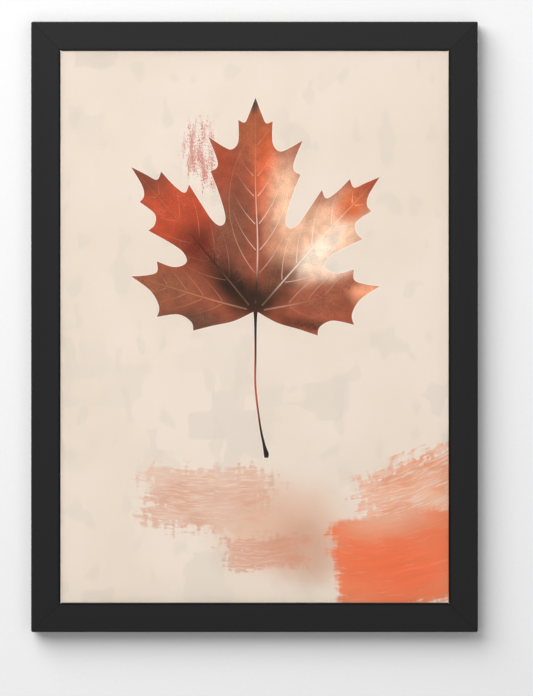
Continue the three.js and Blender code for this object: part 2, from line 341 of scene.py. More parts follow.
def finerCopy(nodeName, material, edge):
    bm = bmesh.new()
    bm.from_mesh(frame["nodes"][nodeName].data)
    bmesh.ops.remove_doubles(bm, verts=bm.verts, dist=1e-6)
    bmesh.ops.dissolve_limit(bm, angle_limit=math.radians(0.5), verts=bm.verts, edges=bm.edges)
    sharp = [e for e in bm.edges if e.is_manifold and e.calc_face_angle(0) > math.radians(34)]
    bmesh.ops.bevel(bm, geom=sharp, offset=edge, affect="EDGES", segments=2, profile=0.5,
                    material=-1, clamp_overlap=True)
    for face in bm.faces:
        face.smooth = True
        face.material_index = 0
    return addPiece("fine_" + nodeName, bm, [material], bodyOf[nodeName], [nodeName])


bodyOf = {}
for bodyName, members in frame["record"]["behaviour"]["bodies"].items():
    for member in members:
        bodyOf[member] = bodyName

ribShape = {"long": 0.0110, "wide": 0.0040, "rise": 0.0004, "along": 0.28, "segments": 24, "rings": 12}


def stampRib(piece, nodeName, shape):
    low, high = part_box(nodeName)
    screwLow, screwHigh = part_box(nodeName.replace("turn_button", "button_screw"))
    screw = (screwLow + screwHigh) / 2
    centre = (low + high) / 2
    longAxis = 0 if high.x - low.x > high.z - low.z else 2
    away = 1 if centre[longAxis] > screw[longAxis] else -1
    place = Vector((centre.x, high.y, centre.z))
    place[longAxis] += away * shape["along"] * (high[longAxis] - low[longAxis]) / 2
    size = [shape["wide"] / 2] * 3
    size[1] = shape["rise"]
    size[longAxis] = shape["long"] / 2
    bm = bmesh.new()
    bm.from_mesh(piece.data)
    dome = bmesh.ops.create_uvsphere(bm, u_segments=shape["segments"], v_segments=shape["rings"],
                                     radius=1)["verts"]
    bmesh.ops.scale(bm, vec=size, verts=dome)
    bmesh.ops.translate(bm, vec=place, verts=dome)
    for face in {f for v in dome for f in v.link_faces}:
        face.smooth = True
    bm.to_mesh(piece.data)
    bm.free()


edgeSizes = {"rail": 0.00012, "turn_button": 0.00018, "button_screw": 0.00008, "hanger_nail": 0.00006,
             "sawtooth_hanger": 0.00012, "wall_pad": 0.0001, "corner_wedge": 0.00008}
slotMaterials = {"pad_rubber": padRubber(rubberLook), **metals}


def finerNode(nodeName, slotName):
    kind = next((k for k in edgeSizes if nodeName.startswith(k)), None)
    if kind is None:
        return
    if kind == "rail":
        material = lacquerAcross if nodeName in ("rail_top", "rail_bottom") else lacquerUpright
    else:
        material = slotMaterials[slotName]
    piece = finerCopy(nodeName, material, edgeSizes[kind])
    if kind == "turn_button":
        stampRib(piece, nodeName, ribShape)


for entry in frame["record"]["subparts"]:
    finerNode(entry["node"], entry["material_slot"])

glueSeam = {
    "thickness": 0.00046,
    "inset": 0.0006,
    "backShare": 0.8,  # of the mitre that the seam fills behind the lip
    "edge": 0.00004,
    "tints": ("0c0b0b", "0c0b0a"),
}


def addGlueSeams(look):
    material, tree, shader = newMaterial("darkGlue")
    grain = noise(tree, objectCoords(tree), 1200, 2)
    tree.links.new(blend(tree, grain, *look["tints"]), shader.inputs["Base Color"])
    shader.inputs["Roughness"].default_value = 0.7
    outerLow, outerHigh = cadBox[0].x, cadBox[1].x
    for name, sideways, upward in (("top_left", -1, 1), ("top_right", 1, 1), ("bottom_left", -1, -1),
                                   ("bottom_right", 1, -1)):
        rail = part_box("rail_top" if upward > 0 else "rail_bottom")
        width = rail[1].z - rail[0].z
        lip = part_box("glass_pane")[0].y
        bm = bmesh.new()
        # one slab across the lip and one across the rail's full width behind it
        for across, y0, y1 in ((1.0, faceY, lip), (look["backShare"], lip, backY)):
            long = width * across - 2 * look["inset"]
            made = bmesh.ops.create_cube(bm, size=1)["verts"]
            depth = y1 - y0 - look["inset"]
            bmesh.ops.scale(bm, vec=(long * math.sqrt(2), depth, look["thickness"]), verts=made)
            bmesh.ops.rotate(bm, cent=(0, 0, 0), verts=made,
                             matrix=Matrix.Rotation(math.radians(-45 * sideways * upward), 3, "Y"))
            cornerX = outerHigh if sideways > 0 else outerLow
            cornerZ = rail[1].z if upward > 0 else rail[0].z
            reach = long / 2 + look["inset"]
            bmesh.ops.translate(bm, verts=made, vec=(cornerX - sideways * reach, (y0 + y1) / 2,
                                                     cornerZ - upward * reach))
        bmesh.ops.bevel(bm, geom=bm.edges[:], offset=look["edge"], affect="EDGES", segments=1, profile=0.5,
                        material=-1)
        addPiece("glue_seam_" + name, bm, [material], rootBody, [])


addGlueSeams(glueSeam)
print("rails and hardware finished")


# Sheets behind the print

frame["nodes"]["glass_pane"].data.materials.clear()
frame["nodes"]["glass_pane"].data.materials.append(clearGlass(glassLook))

boardEdge = 0.0004


def hardboardSheet():
    low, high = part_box("back_board")
    bm = bmesh.new()
    bmesh.ops.create_cube(bm, size=1)
    bmesh.ops.scale(bm, vec=high - low, verts=bm.verts)
    bmesh.ops.translate(bm, vec=(high + low) / 2, verts=bm.verts)
    bmesh.ops.bevel(bm, geom=bm.edges[:], offset=boardEdge, affect="EDGES", segments=3, profile=0.5,
                    material=-1)
    addPiece("hardboard_back", bm, [hardboard(boardLook)], rootBody, ["back_board"])


hardboardSheet()

fluteShape = {"pitch": 0.0066, "liner": 0.0003, "medium": 0.00022, "steps": 10}


def flutedCard(shape):
    low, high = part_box("filler_card")
    liner = shape["liner"]
    bm = bmesh.new()
    for y in (low.y + liner / 2, high.y - liner / 2):
        made = bmesh.ops.create_cube(bm, size=1)["verts"]
        bmesh.ops.scale(bm, vec=(high.x - low.x, liner, high.z - low.z), verts=made)
        bmesh.ops.translate(bm, vec=((low.x + high.x) / 2, y, (low.z + high.z) / 2), verts=made)
    swing = (high.y - low.y) / 2 - liner - shape["medium"]
    count = int((high.x - low.x) / shape["pitch"]) * shape["steps"]
    wave = []
    for i in range(count + 1):
        x = low.x + (high.x - low.x) * i / count
        y = (low.y + high.y) / 2 + swing * math.sin(math.tau * i / shape["steps"])
        wave.append(bm.verts.new((x, y, low.z)))
    run = [bm.edges.new(pair) for pair in zip(wave, wave[1:])]
    grown = bmesh.ops.extrude_edge_only(bm, edges=run)["geom"]
    raised = [v for v in grown if isinstance(v, bmesh.types.BMVert)]
    bmesh.ops.translate(bm, vec=(0, 0, high.z - low.z), verts=raised)
    sheet = [f for f in bm.faces if any(v in set(wave) for v in f.verts)]
    bmesh.ops.solidify(bm, geom=sheet, thickness=shape["medium"])
    bmesh.ops.recalc_face_normals(bm, faces=bm.faces)
    material = fibrePaper("corrugatedCard")
    addPiece("fluted_filler", bm, [material], rootBody, ["filler_card"])


flutedCard(fluteShape)
print("glass, filler and back board finished")


# The leaf's outline

leafPlace = {
    "right": 0.0007,  # from the sheet's middle to where the stalk meets the blade
    "up": 0.0112,
    "height": 0.1615,  # blade, from there up to its top tip
    "curveSteps": 6,
    "halo": 0.0009,  # bare rim of ground round the leaf
}

# A plain textbook leaf: the right half of its edge, from the stalk to the top tip, in blade heights.
# Each row is a sharp tip, and then the places that the edge bends through on its way to the next tip.
bladeEdge = (
    ((0.01, 0.00), (0.10, -0.05), (0.20, -0.08)),
    ((0.29, -0.11), (0.30, -0.07), (0.36, -0.04)),
    ((0.46, -0.06), (0.45, -0.01), (0.49, 0.06)),
    ((0.58, 0.12), (0.51, 0.13), (0.46, 0.15)),
    ((0.46, 0.20), (0.39, 0.18), (0.34, 0.19), (0.32, 0.22), (0.36, 0.27)),
    ((0.50, 0.34), (0.47, 0.37), (0.47, 0.42)),
    ((0.54, 0.47), (0.52, 0.50), (0.53, 0.55)),
    ((0.58, 0.63), (0.51, 0.60), (0.46, 0.58)),
    ((0.44, 0.62), (0.38, 0.56), (0.33, 0.53)),
    ((0.31, 0.57), (0.25, 0.48), (0.20, 0.41), (0.16, 0.39), (0.14, 0.43), (0.17, 0.54)),
    ((0.21, 0.64), (0.18, 0.66), (0.18, 0.70)),
    ((0.22, 0.80), (0.15, 0.76), (0.11, 0.75), (0.08, 0.79)),
    ((0.08, 0.89), (0.05, 0.88), (0.03, 0.92)),
)
topTip = (0.00, 1.00)
leftRaise = 0.08  # the left lobes reach this much higher, for each blade height out


def mirrored(point):
    return (-point[0], point[1] + leftRaise * point[0])


# The stalk's middle and half its width, downwards from the blade.
stalkRun = ((0.00, -0.01, 0.009), (0.00, -0.06, 0.006), (0.00, -0.20, 0.005), (0.00, -0.35, 0.005),
            (0.02, -0.52, 0.005), (0.04, -0.62, 0.007), (0.05, -0.66, 0.012), (0.05, -0.68, 0.009))


def smoothRun(points, steps):
    run = []
    padded = [points[0], *points, points[-1]]
    for a, b, c, d in zip(padded, padded[1:], padded[2:], padded[3:]):
        for i in range(steps):
            t = i / steps
            run.append(tuple(
                0.5 * (2 * q + (r - p) * t + (2 * p - 5 * q + 4 * r - s) * t * t
                       + (3 * q - p - 3 * r + s) * t ** 3)
                for p, q, r, s in zip(a, b, c, d)))
    run.append(tuple(points[-1]))
    return run


def onSheet(point):
    return Vector((middle.x + leafPlace["right"] + point[0] * leafPlace["height"],
                   middle.z + leafPlace["up"] + point[1] * leafPlace["height"]))


def bladeOutline():
    half = []
    for row, following in zip(bladeEdge, (*bladeEdge[1:], (topTip,))):
        half += smoothRun((*row, following[0]), leafPlace["curveSteps"])[:-1]
    return [onSheet(p) for p in (*half, topTip, *(mirrored(p) for p in reversed(half)))]


def stalkSides():
    run = smoothRun(stalkRun, leafPlace["curveSteps"])
    left, right = [], []
    for here, ahead in zip(run, (*run[1:], None)):
        if ahead:
            along = Vector((ahead[0] - here[0], ahead[1] - here[1])).normalized()
        across = Vector((-along.y, along.x)) * here[2]
        left.append(onSheet((here[0] - across.x, here[1] - across.y)))
        right.append(onSheet((here[0] + across.x, here[1] + across.y)))
    return left, right


# Veins that grow from the stalk

mainVeins = {
    "middle": {"run": ((0.00, 0.04), (0.01, 0.30), (0.00, 0.60), (0.00, 0.96)),
               "starts": (0.20, 0.34, 0.48, 0.61, 0.73, 0.84), "paired": False},
    "upper": {"run": ((0.03, 0.03), (0.17, 0.19), (0.34, 0.38), (0.54, 0.59)),
              "starts": (0.26, 0.40, 0.56, 0.72, 0.86), "paired": True},
    "lower": {"run": ((0.04, 0.01), (0.20, 0.04), (0.38, 0.08), (0.55, 0.12)),
              "starts": (0.26, 0.42, 0.58, 0.74, 0.86), "paired": True},
}
veinGrowth = {
    "mainHalf": (0.00095, 0.0003),  # half width at the start and at the tip
    "sideHalf": (0.00048, 0.0002),
    "sideFade": 0.4,  # a side vein starts as faint as its main one is this far along
    "spread": math.radians(43),  # between a side vein and its main one
    "curl": math.radians(1.5),  # turned towards the tip in each step
    "step": 0.0022,
    "rim": 0.0014,  # a vein stops this far from the edge
    "room": 0.0021,  # and this far from another vein
    "clear": 0.0015,  # a side vein starts this far from its main one
}


def gapTo(point, run):
    nearest = math.inf
    for a, b in zip(run, run[1:]):
        t = max(0, min(1, (point - a).dot(b - a) / max((b - a).length_squared, 1e-12)))
        nearest = min(nearest, (a.lerp(b, t) - point).length)
    return nearest


def insideBlade(point, outline):
    inside = False
    for a, b in zip(outline, (*outline[1:], outline[0])):
        if (a.y > point.y) != (b.y > point.y):
            if point.x < a.x + (b.x - a.x) * (point.y - a.y) / (b.y - a.y):
                inside = not inside
    return inside


def growSide(parent, index, side, outline, others):
    heading = parent[index + 1] - parent[index]
    angle = math.atan2(heading.y, heading.x) + side * veinGrowth["spread"]
    point = parent[index]
    path = []
    while insideBlade(point, outline) and gapTo(point, outline) > veinGrowth["rim"]:
        if any(gapTo(point, run) < veinGrowth["room"] for run in others):
            break
        if gapTo(point, parent) > veinGrowth["clear"]:
            path.append(point)
            angle -= side * veinGrowth["curl"]
        elif path:
            break
        point = point + Vector((math.cos(angle), math.sin(angle))) * veinGrowth["step"]
    return path


def growVeins(outline):
    closed = [*outline, outline[0]]
    mains, starts = [], []
    for vein in mainVeins.values():
        for turned in (False, True) if vein["paired"] else (False,):
            run = [mirrored(p) if turned else p for p in vein["run"]]
            mains.append([onSheet(p) for p in smoothRun(run, 14)])
            starts.append(vein["starts"])
    sides = []
    for run, places in zip(mains, starts):
        for start in places:
            for side in (1, -1):
                others = [r for r in mains if r is not run] + sides
                path = growSide(run, int(start * (len(run) - 2)), side, closed, others)
                if len(path) > 3:
                    sides.append(path)
    return mains + sides, [veinGrowth["mainHalf"]] * len(mains) + [veinGrowth["sideHalf"]] * len(sides)


# The printed sheet: one closed sheet whose front is parted into ground, leaf, veins and stalk

glassGap = 0.00005  # between the pane and the print
slots = {"ground": 0, "blade": 1, "vein": 2, "stalk": 3, "back": 4}


def chain(bm, verts, closed=False):
    following = [*verts[1:], verts[0]] if closed else verts[1:]
    return [bm.edges.get(pair) or bm.edges.new(pair) for pair in zip(verts, following)]


def fillBetween(bm, edges, slotIndex):
    made = bmesh.ops.triangle_fill(bm, use_beauty=True, use_dissolve=False, edges=edges, normal=(0, -1, 0))
    for face in made["geom"]:
        if isinstance(face, bmesh.types.BMFace):
            face.material_index = slotIndex


def addRibbon(bm, path, half, y, across, along, faded):
    rows = []
    for i, point in enumerate(path):
        t = i / (len(path) - 1)
        ahead = path[min(i + 1, len(path) - 1)] - path[max(i - 1, 0)]
        side = Vector((-ahead.y, ahead.x)).normalized() * (half[0] + (half[1] - half[0]) * t)
        row = []
        for place in (-1, 0, 1):
            vert = bm.verts.new((point.x + side.x * place, y, point.y + side.y * place))
            vert[across] = place
            vert[along] = faded + (1 - faded) * t
            row.append(vert)
        rows.append(row)
    columns = [chain(bm, [row[k] for row in rows]) for k in range(3)]
    faces = []
    for pair in ((0, 1), (1, 2)):
        faces += bmesh.ops.bridge_loops(bm, edges=columns[pair[0]] + columns[pair[1]])["faces"]
    for face in faces:
        face.material_index = slots["vein"]
    return [e for e in {e for f in faces for e in f.edges} if len(e.link_faces) == 1]


def offsetLoop(points, distance):
    moved = []
    for before, here, after in zip((points[-1], *points[:-1]), points, (*points[1:], points[0])):
        along = (here - before).normalized() + (after - here).normalized()
        outward = Vector((along.y, -along.x)).normalized()
        moved.append(here + outward * distance)
    return moved


def growHalo(bm, outer, outerEdges, halo):
    band = bmesh.ops.extrude_edge_only(bm, edges=outerEdges)["geom"]
    spread = {part for part in band if isinstance(part, bmesh.types.BMVert)}
    places = offsetLoop([Vector((v.co.x, v.co.z)) for v in outer], leafPlace["halo"])
    for vert, place in zip(outer, places):
        for edge in vert.link_edges:
            far = edge.other_vert(vert)
            if far in spread:
                far.co.x, far.co.z = place
                far[halo] = 0
    for part in band:
        if isinstance(part, bmesh.types.BMFace):
            part.material_index = slots["ground"]
    return [part for part in band if isinstance(part, bmesh.types.BMEdge) and spread.issuperset(part.verts)]


def printedSheet():
    low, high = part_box("art_print")
    y = low.y + glassGap
    bm = bmesh.new()
    halo = bm.verts.layers.float.new("halo")
    across = bm.verts.layers.float.new("across")
    along = bm.verts.layers.float.new("along")

    def lay(points):
        return [bm.verts.new((p.x, y, p.y)) for p in points]

    ends = ((low.x, low.z), (high.x, low.z), (high.x, high.z), (low.x, high.z))
    corners = lay([Vector(end) for end in ends])
    rim = chain(bm, corners, closed=True)
    outline = bladeOutline()
    left, right = stalkSides()
    blade = lay(outline)
    downLeft, upRight = lay(left), lay(reversed(right))
    outer = [*blade, *downLeft, *upRight]
    for vert in outer:
        vert[halo] = 1.0
    outerEdges = chain(bm, outer, closed=True)
    bladeBase = chain(bm, [blade[-1], blade[0]])
    fillBetween(bm, rim + growHalo(bm, outer, outerEdges, halo), slots["ground"])
    fillBetween(bm, chain(bm, [blade[-1], *downLeft, *upRight, blade[0]]) + bladeBase, slots["stalk"])
    veins, halves = growVeins(outline)
    ribbonEdges = []
    for path, half in zip(veins, halves):
        faded = 0 if half is veinGrowth["mainHalf"] else veinGrowth["sideFade"]
        ribbonEdges += addRibbon(bm, path, half, y, across, along, faded)
    fillBetween(bm, chain(bm, blade) + bladeBase + ribbonEdges, slots["blade"])
    bmesh.ops.recalc_face_normals(bm, faces=bm.faces)
    if sum(f.normal.y * f.calc_area() for f in bm.faces) > 0:
        bmesh.ops.reverse_faces(bm, faces=bm.faces)
    print("leaf parted,", len(veins), "veins,", len(bm.faces), "faces,",
          round(sum(f.calc_area() for f in bm.faces) * 1e4, 2), "cm2")
    return bm, rim, low, high


# Patterns on the sheet are placed in centimetres from its middle, or in blade heights from the stalk

def sheetCoords(tree, centre, scale):
    moved = vectorCalc(tree, "SUBTRACT", objectCoords(tree), centre)
    return vectorCalc(tree, "MULTIPLY", moved, (scale, 0, scale))


def centimetres(tree):
    return sheetCoords(tree, tuple(middle), 100)


def bladeHeights(tree):
    base = onSheet((0, 0))
    return sheetCoords(tree, (base.x, middle.y, base.y), 1 / leafPlace["height"])


def wobble(tree, coords, scale, amount):
    field = addNode(tree, "ShaderNodeTexNoise", {"Vector": coords, "Scale": scale, "Detail": 2})
    shift = vectorCalc(tree, "SUBTRACT", field.outputs["Color"], (0.5, 0.5, 0.5))
    return vectorCalc(tree, "ADD", coords, vectorCalc(tree, "MULTIPLY", shift, (amount, 0, amount)))


def placed(tree, coords, spot):
    right, up, halfWidth, halfHeight, turn = spot[:5]
    inputs = {"Vector": coords, "Location": (right, 0, up), "Rotation": (0, math.radians(-turn), 0),
              "Scale": (halfWidth, 1, halfHeight)}
    return addNode(tree, "ShaderNodeMapping", inputs, vector_type="TEXTURE").outputs[0]


def roundSpot(tree, coords, spot, core=0.15):
    return ease(tree, vectorCalc(tree, "LENGTH", placed(tree, coords, spot)), core, 1, 1, 0)


def shaded(tree, colour, field, low, high, spread):
    gain = ease(tree, field, low, high, 1 - spread, 1 + spread)
    return addNode(tree, "ShaderNodeVectorMath", {0: colour, "Scale": gain}, operation="SCALE").outputs[0]


def boxSpot(tree, coords, spot):
    parts = addNode(tree, "ShaderNodeSeparateXYZ", {0: placed(tree, coords, spot)}).outputs
    sides = [calc(tree, "ABSOLUTE", parts[i]) for i in (0, 2)]
    return calc(tree, "SUBTRACT", 1.0, calc(tree, "SMOOTH_MAX", *sides, 0.35))


def paintSpots(tree, coords, under, spots):
    for spot in spots:
        factor = calc(tree, "MULTIPLY", roundSpot(tree, coords, spot), spot[6])
        under = blend(tree, factor, under, spot[5])
    return under


# Each spot: right, up, half width, half height, turn in degrees, tint, strength
bladeSpots = (
    (-0.35, 0.45, 0.40, 0.35, 0, "c44e2c", 1.0),
    (-0.25, 0.30, 0.20, 0.20, 0, "702818", 0.9),
    (-0.50, 0.65, 0.15, 0.15, -45, "85452f", 0.9),
    (-0.40, 0.10, 0.30, 0.20, -10, "95553b", 1.0),
    (-0.30, -0.05, 0.30, 0.10, 0, "64402e", 0.9),
    (-0.10, 0.40, 0.15, 0.40, 0, "85503a", 0.9),
    (-0.15, 0.70, 0.10, 0.15, 0, "ad4a2c", 0.8),
    (0.00, 0.85, 0.20, 0.20, 0, "ad5d3a", 1.0),
    (0.00, 0.98, 0.03, 0.08, 0, "47342b", 0.9),
    (0.05, 0.65, 0.10, 0.30, 0, "e26a3e", 1.0),
    (0.15, 0.50, 0.15, 0.35, 0, "fbc8a6", 1.0),
    (0.10, 0.30, 0.10, 0.15, 0, "cf8d6c", 0.8),
    (0.35, 0.35, 0.35, 0.25, 45, "ffcfad", 1.0),
    (0.45, 0.50, 0.15, 0.10, 45, "e5733f", 1.0),
    (0.55, 0.60, 0.15, 0.15, 45, "ad4b28", 1.0),
    (0.30, 0.28, 0.25, 0.08, 45, "ffecd8", 0.85),
    (0.35, 0.20, 0.20, 0.08, 20, "ffdec4", 0.8),
    (0.35, 0.05, 0.35, 0.12, 10, "a0553a", 1.0),
    (0.52, 0.10, 0.12, 0.08, 10, "f5a67f", 1.0),
    (0.25, -0.06, 0.25, 0.05, -10, "61301a", 0.9),
    (0.10, 0.15, 0.15, 0.15, 0, "6e432f", 0.9),
    (-0.10, 0.12, 0.25, 0.13, -45, "2c1708", 1.0),
    (0.00, 0.05, 0.20, 0.12, 0, "331e10", 0.95),
)
veinSpots = (
    (0.00, 0.45, 1.00, 0.90, 0, "eba987", 0.7),
    (0.00, 0.42, 0.12, 0.32, 0, "ffe2d0", 1.0),
    (0.15, 0.50, 0.16, 0.30, 0, "fff0e4", 0.9),
    (0.32, 0.32, 0.46, 0.30, 45, "fffaf2", 1.0),
    (-0.22, 0.27, 0.36, 0.07, -48, "2c140b", 1.0),
    (-0.35, 0.12, 0.30, 0.16, -15, "d08a60", 0.8),
    (0.30, 0.05, 0.25, 0.08, 10, "8a5238", 0.8),
    (0.00, 0.10, 0.15, 0.15, 0, "1f120a", 0.95),
)
rasterGrain = {"scale": 1500, "depth": 0.00002, "roughness": (0.5, 0.62), "specular": 0.3}
bladeLook = {"under": "a9553a", "mottle": 18, "speckle": 210, "cells": 55, "netTint": "e9a583"}


def printFinish(tree, shader, colour):
    grain = noise(tree, objectCoords(tree), rasterGrain["scale"], 2, 0.7)
    tree.links.new(colour, shader.inputs["Base Color"])
    tree.links.new(ease(tree, grain, 0.3, 0.7, *rasterGrain["roughness"]), shader.inputs["Roughness"])
    shader.inputs["Specular IOR Level"].default_value = rasterGrain["specular"]
    bump(tree, shader, grain, 0.1, rasterGrain["depth"])


def bladeColour(tree):
    coords = wobble(tree, bladeHeights(tree), 9, 0.05)
    colour = paintSpots(tree, coords, bladeLook["under"], bladeSpots)
    mottle = noise(tree, bladeHeights(tree), bladeLook["mottle"], 2, 0.5)
    speckle = noise(tree, bladeHeights(tree), bladeLook["speckle"], 2, 0.6)
    colour = shaded(tree, colour, mottle, 0.25, 0.75, 0.16)
    return shaded(tree, colour, speckle, 0.3, 0.7, 0.18)


def bladeMaterial():
    material, tree, shader = newMaterial("printedBlade")
    inputs = {"Vector": bladeHeights(tree), "Scale": bladeLook["cells"]}
    cells = addNode(tree, "ShaderNodeTexVoronoi", inputs, feature="DISTANCE_TO_EDGE").outputs["Distance"]
    patchy = noise(tree, bladeHeights(tree), 5, 2)
    net = calc(tree, "MULTIPLY", ease(tree, cells, 0.02, 0.09, 0.14, 0.0), ease(tree, patchy, 0.45, 0.65))
    printFinish(tree, shader, blend(tree, net, bladeColour(tree), bladeLook["netTint"]))
    return material


def veinMaterial():
    material, tree, shader = newMaterial("printedVeins")
    across = addNode(tree, "ShaderNodeAttribute", attribute_name="across").outputs["Fac"]
    along = addNode(tree, "ShaderNodeAttribute", attribute_name="along").outputs["Fac"]
    under = bladeColour(tree)
    over = paintSpots(tree, bladeHeights(tree), under, veinSpots)
    middleness = ease(tree, calc(tree, "ABSOLUTE", across), 0.35, 1.0, 1.0, 0.0)
    strength = calc(tree, "MULTIPLY", middleness, ease(tree, along, 0.0, 1.0, 1.0, 0.3))
    printFinish(tree, shader, blend(tree, strength, under, over))
    return material


stalkLook = {
    "tints": ("c05a38", "2a1c15"),  # of its lit left side and its right side
    "bend": 0.08,  # how the line between the sides follows the stalk's curve
    "leftwards": -0.004,
    "sideEdge": (-0.004, 0.003),
    "spots": ((0.0, -0.02, 0.03, 0.14, 0, "2a1a12", 0.85),
              (0.043, -0.67, 0.05, 0.07, 0, "211a15", 1.0)),
    "grainTint": "1a1410",
}


def stalkMaterial(look):
    material, tree, shader = newMaterial("printedStalk")
    coords = bladeHeights(tree)
    parts = addNode(tree, "ShaderNodeSeparateXYZ", {0: coords}).outputs
    bent = calc(tree, "MULTIPLY", calc(tree, "POWER", parts[2], 2.0), look["bend"])
    line = calc(tree, "ADD", bent, look["leftwards"])
    side = ease(tree, calc(tree, "SUBTRACT", parts[0], line), *look["sideEdge"])
    colour = paintSpots(tree, coords, blend(tree, side, *look["tints"]), look["spots"])
    grain = noise(tree, coords, 60, 3, 0.6, (1, 1, 0.12))
    printFinish(tree, shader, blend(tree, ease(tree, grain, 0.5, 0.75, 0, 0.5), colour, look["grainTint"]))
    return material


brushLook = {
    "along": 0.1,  # how much a hair's mark is stretched along the stroke
    "fineness": 2.6,  # of hairs against streaks
    "tooth": (0.9, (1, 1, 0.35)),  # grain across the stroke
    "edge": (0.16, 0.28),
    "patchScale": 0.42,
    "hairTint": "f9d5c0",
}

# Brush strokes: a box of right, up, half width, half height and turn, bent about a far point
strokes = {
    "peachSweep": {"box": (-3.5, -13.0, 6.0, 3.0, -3), "bendAt": (-3.0, 30.0), "dry": 1.3, "gaps": 0.45,
                   "tints": ("ebc3ac", "e0aa8f"), "opacity": 0.9, "streaks": 2.6, "spots": ()},
    "lowSweep": {"box": (1.0, -17.0, 4.0, 1.5, 3), "bendAt": (0.0, 30.0), "dry": 1.6, "gaps": 0.5,
                 "tints": ("e2a78e", "db9b80"), "opacity": 0.8, "streaks": 2.4, "spots": ()},
    "orangeTop": {"box": (13.0, -12.5, 6.0, 3.6, 20), "bendAt": (4.0, 8.0), "dry": 1.4, "gaps": 0.5,
                  "tints": ("f1b698", "eb9f7c"), "opacity": 0.95, "streaks": 2.2, "spots": ()},
    "orange": {"box": (11.5, -17.5, 7.0, 4.5, 8), "bendAt": (7.0, 4.0), "dry": 0.4, "gaps": 0.0,
               "tints": ("f08f66", "ee7d53"), "opacity": 1.0, "streaks": 2.0,
               "spots": ((11.0, -18.0, 6.0, 3.5, 8, "f2754a", 0.9),
                         (10.0, -14.0, 5.0, 2.5, 8, "eab093", 0.9))},
}
hazeSpots = (
    (2.0, -15.0, 7.0, 5.0, 0, "e6bda5", 0.95),
    (4.0, -17.0, 4.0, 4.0, 0, "cf9f85", 0.7),
)


def brushStroke(tree, coords, under, stroke):
    mask = boxSpot(tree, coords, stroke["box"])
    centre = Vector((stroke["bendAt"][0], 0, stroke["bendAt"][1]))
    bendRadius = (Vector((stroke["box"][0], 0, stroke["box"][1])) - centre).length
    fromBend = vectorCalc(tree, "SUBTRACT", coords, tuple(centre))
    radius = vectorCalc(tree, "LENGTH", fromBend)
    parts = addNode(tree, "ShaderNodeSeparateXYZ", {0: fromBend}).outputs
    turn = calc(tree, "ARCTAN2", parts[0], parts[2])
    run = calc(tree, "MULTIPLY", turn, bendRadius * brushLook["along"])
    lanes = addNode(tree, "ShaderNodeCombineXYZ", {0: run, 2: radius}).outputs[0]
    streaks = noise(tree, lanes, stroke["streaks"], 4, 0.72)
    fine = noise(tree, lanes, stroke["streaks"] * brushLook["fineness"], 3, 0.7)
    toothScale, toothStretch = brushLook["tooth"]
    tooth = noise(tree, coords, stroke["streaks"] * toothScale, 3, 0.6, toothStretch)
    rough = calc(tree, "SUBTRACT", blend(tree, 0.35, blend(tree, 0.45, streaks, fine), tooth), 0.5)
    reached = calc(tree, "ADD", mask, calc(tree, "MULTIPLY", rough, stroke["dry"] * 2))
    cover = calc(tree, "MULTIPLY", ease(tree, reached, *brushLook["edge"]), stroke["opacity"])
    cover = calc(tree, "MULTIPLY", cover, ease(tree, fine, 0.46, 0.60, 1.0, 1 - stroke["gaps"]))
    patches = noise(tree, coords, brushLook["patchScale"], 3, 0.5, (0.7, 1, 1))
    colour = blend(tree, ease(tree, blend(tree, 0.55, streaks, patches), 0.4, 0.6), *stroke["tints"])
    colour = paintSpots(tree, coords, colour, stroke["spots"])
    colour = blend(tree, ease(tree, fine, 0.54, 0.72, 0, 0.15), colour, brushLook["hairTint"])
    colour = shaded(tree, colour, streaks, 0.3, 0.7, 0.05)
    return blend(tree, cover, under, colour)


blotchLook = {
    "plain": "efdfd0",
    "warm": "f3e3d6",
    "cool": "e3d6c9",
    "petal": "e2d5c7",
    "fibre": "d9c7b6",
    "halo": "fbf2e8",  # bare ground round the leaf
    "cloudScale": 0.12,
    "patchScale": 0.34,
    "petalScale": 0.55,
    "fibreScale": 14,
}


def groundColour(tree, look):
    cm = centimetres(tree)
    cloud = noise(tree, cm, look["cloudScale"], 3, 0.55)
    colour = blend(tree, ease(tree, cloud, 0.38, 0.62), look["plain"], look["warm"])
    inputs = {"Vector": wobble(tree, cm, 0.5, 1.6), "Scale": look["patchScale"], "Randomness": 0.9}
    patches = addNode(tree, "ShaderNodeTexVoronoi", inputs, distance="CHEBYCHEV").outputs["Color"]
    tone = addNode(tree, "ShaderNodeSeparateXYZ", {0: patches}).outputs[0]
    spread = ease(tree, noise(tree, cm, 0.07, 1), 0.40, 0.62)
    cool = calc(tree, "MULTIPLY", ease(tree, tone, 0.55, 1.0, 0, 0.55), spread)
    colour = blend(tree, cool, colour, look["cool"])
    petals = noise(tree, wobble(tree, cm, 1.2, 0.8), look["petalScale"], 1, 0.4, (1, 1, 0.7))
    colour = blend(tree, ease(tree, petals, 0.60, 0.64, 0, 0.35), colour, look["petal"])
    fibres = noise(tree, cm, look["fibreScale"], 3, 0.7)
    return blend(tree, ease(tree, fibres, 0.5, 0.75, 0, 0.18), colour, look["fibre"])


crayonLook = {
    "spot": (-4.0, 13.0, 2.0, 4.0, 10),  # one plain oval of chalk beside the leaf
    "specks": 12.5,
    "speckLean": math.radians(14),
    "lanes": 2.6,
    "laneLean": math.radians(12),
    "chalk": "f8ebe0",
    "tints": ("b63a2c", "dc8b79"),
}


